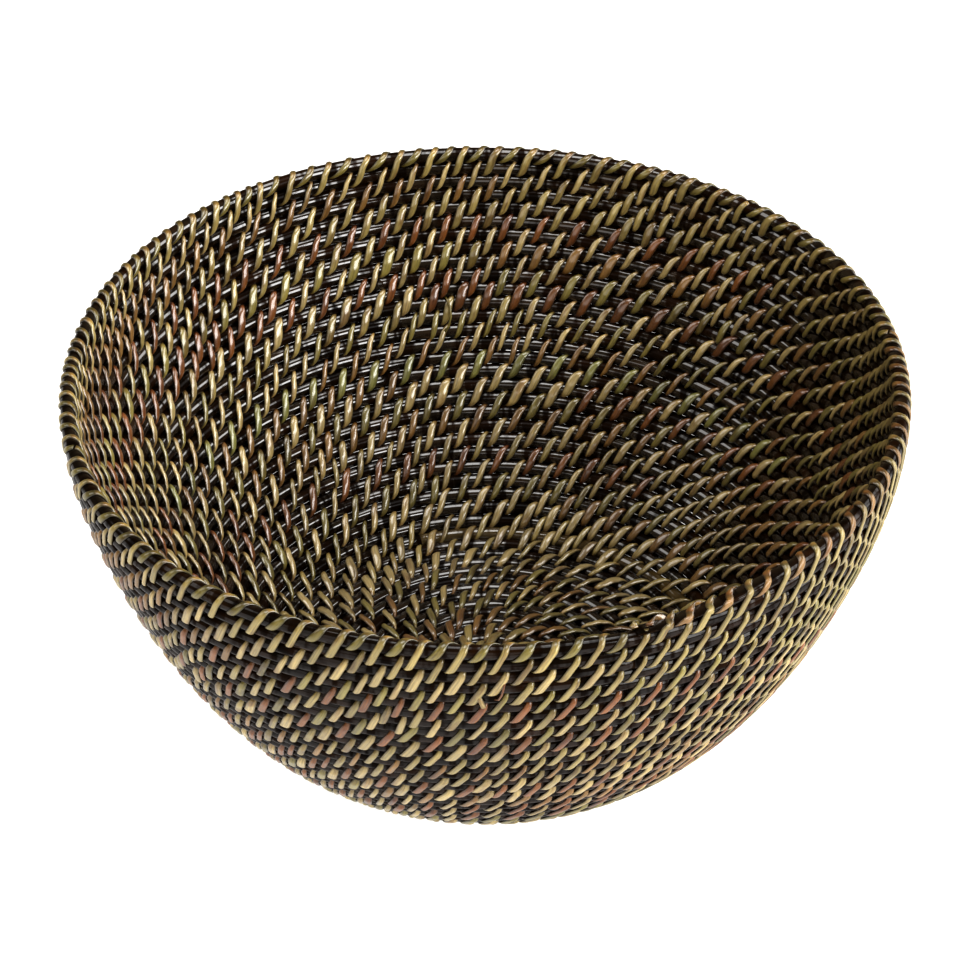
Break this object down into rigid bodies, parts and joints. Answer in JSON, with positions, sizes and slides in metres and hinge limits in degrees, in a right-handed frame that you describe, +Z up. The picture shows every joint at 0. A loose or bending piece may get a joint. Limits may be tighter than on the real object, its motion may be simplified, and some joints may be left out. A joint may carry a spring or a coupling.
{
  "type": "woven fruit basket",
  "caption": "Round open bowl basket of coiled dark rattan cane, each round lashed to the next with light split-cane strips; flat round base.",
  "frame": {"origin": "middle of the surface that the basket stands on, on the bowl's axis", "axes": "+Z up along the bowl's axis, towards the rim; -Y is the side towards the viewer"},
  "size_m": [0.3296, 0.3294, 0.1495],
  "materials": {
    "dark_cane": "gloss lacquer",
    "natural_cane": "satin lacquer",
    "binding_strip": "satin lacquer"
  },
  "bodies": {
    "root": {"rim_cane": "dark_cane", "wall_cane_1": "dark_cane", "wall_cane_2": "dark_cane", "wall_cane_3": "dark_cane", "wall_cane_4": "dark_cane", "wall_cane_5": "dark_cane", "wall_cane_6": "dark_cane", "wall_cane_7": "dark_cane", "base_edge_cane": "dark_cane", "base_outer_cane": "dark_cane", "base_centre_cane": "dark_cane", "natural_cane_splice": "natural_cane", "rim_binding": "binding_strip", "wall_binding_1": "binding_strip", "wall_binding_2": "binding_strip", "wall_binding_3": "binding_strip", "wall_binding_4": "binding_strip", "wall_binding_5": "binding_strip", "wall_binding_6": "binding_strip", "wall_binding_7": "binding_strip", "wall_binding_8": "binding_strip", "base_edge_binding": "binding_strip", "base_inside_binding": "binding_strip", "base_underside_binding": "binding_strip"}
  },
  "joints": []
}
